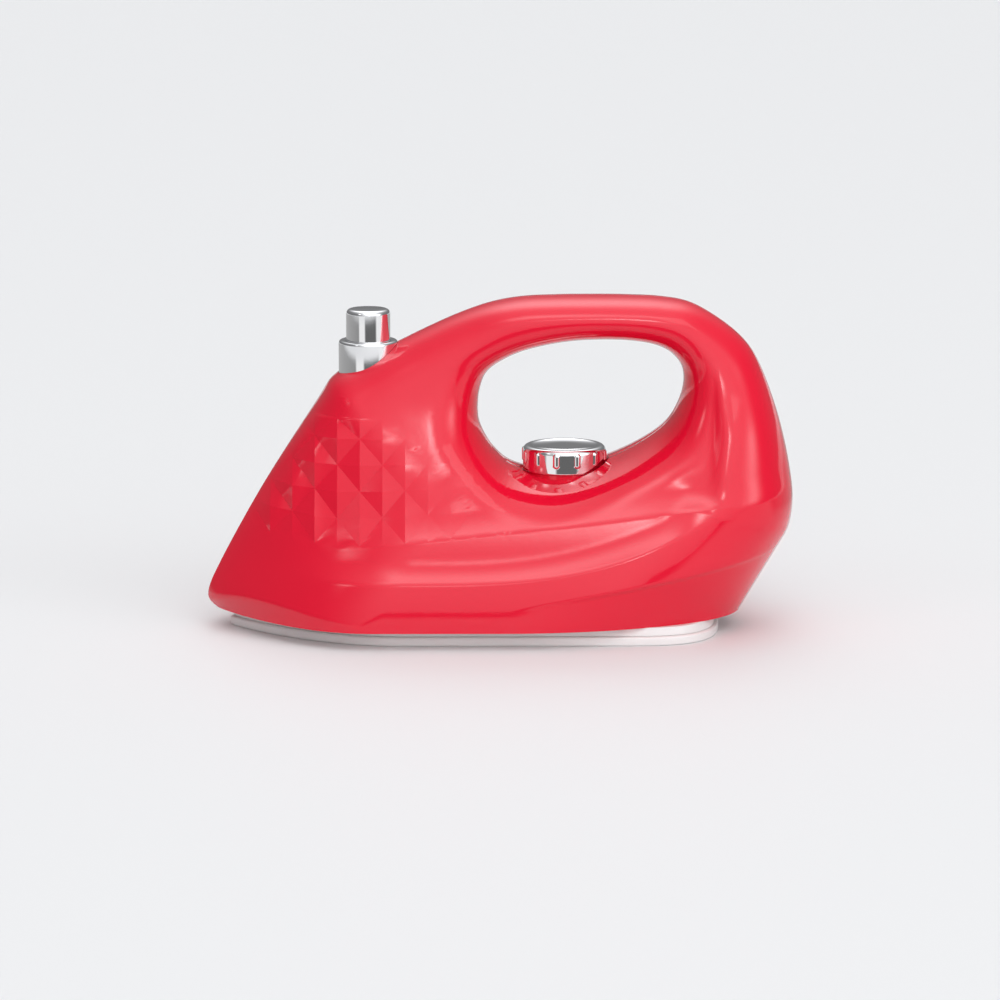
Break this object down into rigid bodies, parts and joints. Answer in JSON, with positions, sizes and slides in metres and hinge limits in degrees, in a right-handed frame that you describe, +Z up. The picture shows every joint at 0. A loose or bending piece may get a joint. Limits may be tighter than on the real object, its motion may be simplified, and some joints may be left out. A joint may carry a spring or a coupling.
{
  "type": "toy iron",
  "caption": "Pretend-play clothes iron: red two-part shell with a loop handle and a faceted nose, white stepped sole, chrome push button and click dial, small vibrating motor inside",
  "frame": {"origin": "middle of the bounding box, on the table under the sole", "axes": "+X runs from the nose to the heel, +Y is the far side of the picture, +Z is up"},
  "size_m": [0.1666, 0.077, 0.095],
  "materials": {
    "red_plastic": "high-gloss moulded ABS",
    "white_plastic": "moulded white plastic",
    "chrome_plating": "bright chrome plating on plastic",
    "screw_steel": "zinc-plated steel",
    "contact_metal": "nickel-plated spring steel",
    "motor_steel": "drawn steel can",
    "brass": "turned brass",
    "cell_jacket": "plain printed cell jacket with no lettering",
    "black_plastic": "matt moulded plastic",
    "board_green": "solder-masked circuit board"
  },
  "bodies": {
    "housing": {"body_left": "red_plastic", "body_right": "red_plastic", "body_screws": "screw_steel", "sole_plate": "white_plastic", "sole_screws": "screw_steel", "battery_door": "white_plastic", "door_screw": "screw_steel", "battery_left": "cell_jacket", "battery_right": "cell_jacket", "contact_bridge": "contact_metal", "contact_terminals": "contact_metal", "contact_springs": "contact_metal", "motor": "motor_steel", "motor_clamp": "black_plastic", "clamp_screws": "screw_steel", "switch_board": "board_green", "push_switch": "black_plastic", "button_collar": "chrome_plating", "button_spring": "contact_metal", "click_spring": "contact_metal"},
    "button": {"button_cap": "chrome_plating", "switch_plunger": "white_plastic"},
    "dial": {"dial_knob": "chrome_plating", "click_wheel": "white_plastic", "dial_screw": "screw_steel"},
    "rotor": {"eccentric_weight": "brass"}
  },
  "joints": [
    {"name": "button_press", "type": "slide", "parent": "housing", "child": "button", "axis": [0, 0, -1], "range_m": [0, 0.003], "stiffness_N_per_m": 400, "springref_m": -0.002, "deforming": ["button_spring"]},
    {"name": "dial_turn", "type": "hinge", "parent": "housing", "child": "dial", "pos_m": [0.01835, 0, 0.045], "axis": [0, 0, 1], "continuous": true},
    {"name": "weight_spin", "type": "hinge", "parent": "housing", "child": "rotor", "pos_m": [-0.04525, 0, 0.0169], "axis": [1, 0, 0], "continuous": true}
  ]
}
